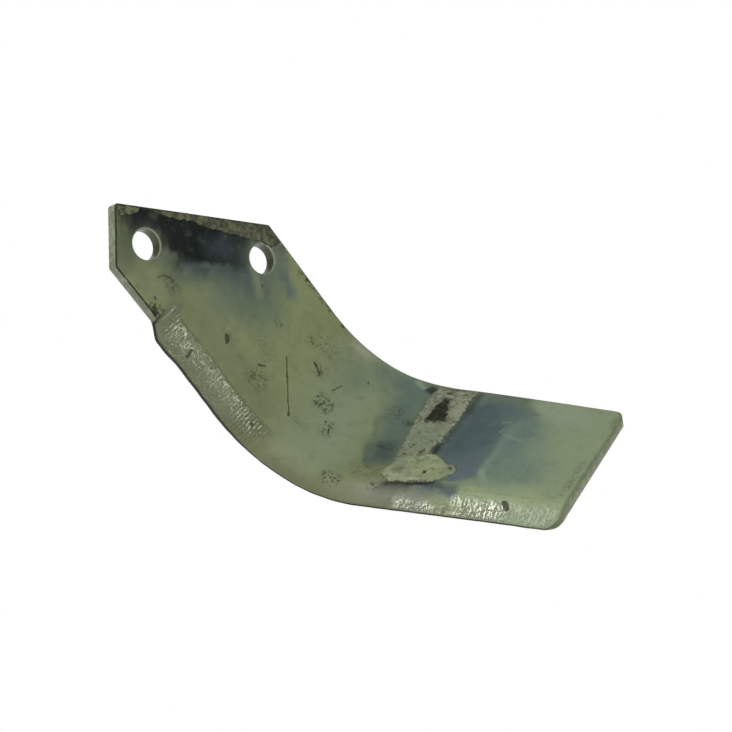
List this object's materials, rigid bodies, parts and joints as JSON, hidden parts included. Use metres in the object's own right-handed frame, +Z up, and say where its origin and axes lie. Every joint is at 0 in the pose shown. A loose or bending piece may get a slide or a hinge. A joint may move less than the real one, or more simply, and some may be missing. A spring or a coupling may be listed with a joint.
{
  "type": "rotary tiller blade",
  "caption": "Flat steel bar bent round into an L, with a thin forged cutting edge along one side and bolt holes through its slanted end, to break soil on a tiller's rotor.",
  "frame": {"origin": "midway between the two bolt holes, on the face that lies on the rotor's flange", "axes": "+X along the line of the two holes, from the squared end towards the wing; +Y out of the face that lies on the flange; +Z up, square to both, with the wing hanging down as at the bottom of the rotor"},
  "size_m": [0.1737, 0.1228, 0.1358],
  "materials": {
    "lacquered_steel": "glossy"
  },
  "bodies": {
    "root": {"tiller_blade": "lacquered_steel"}
  },
  "joints": []
}
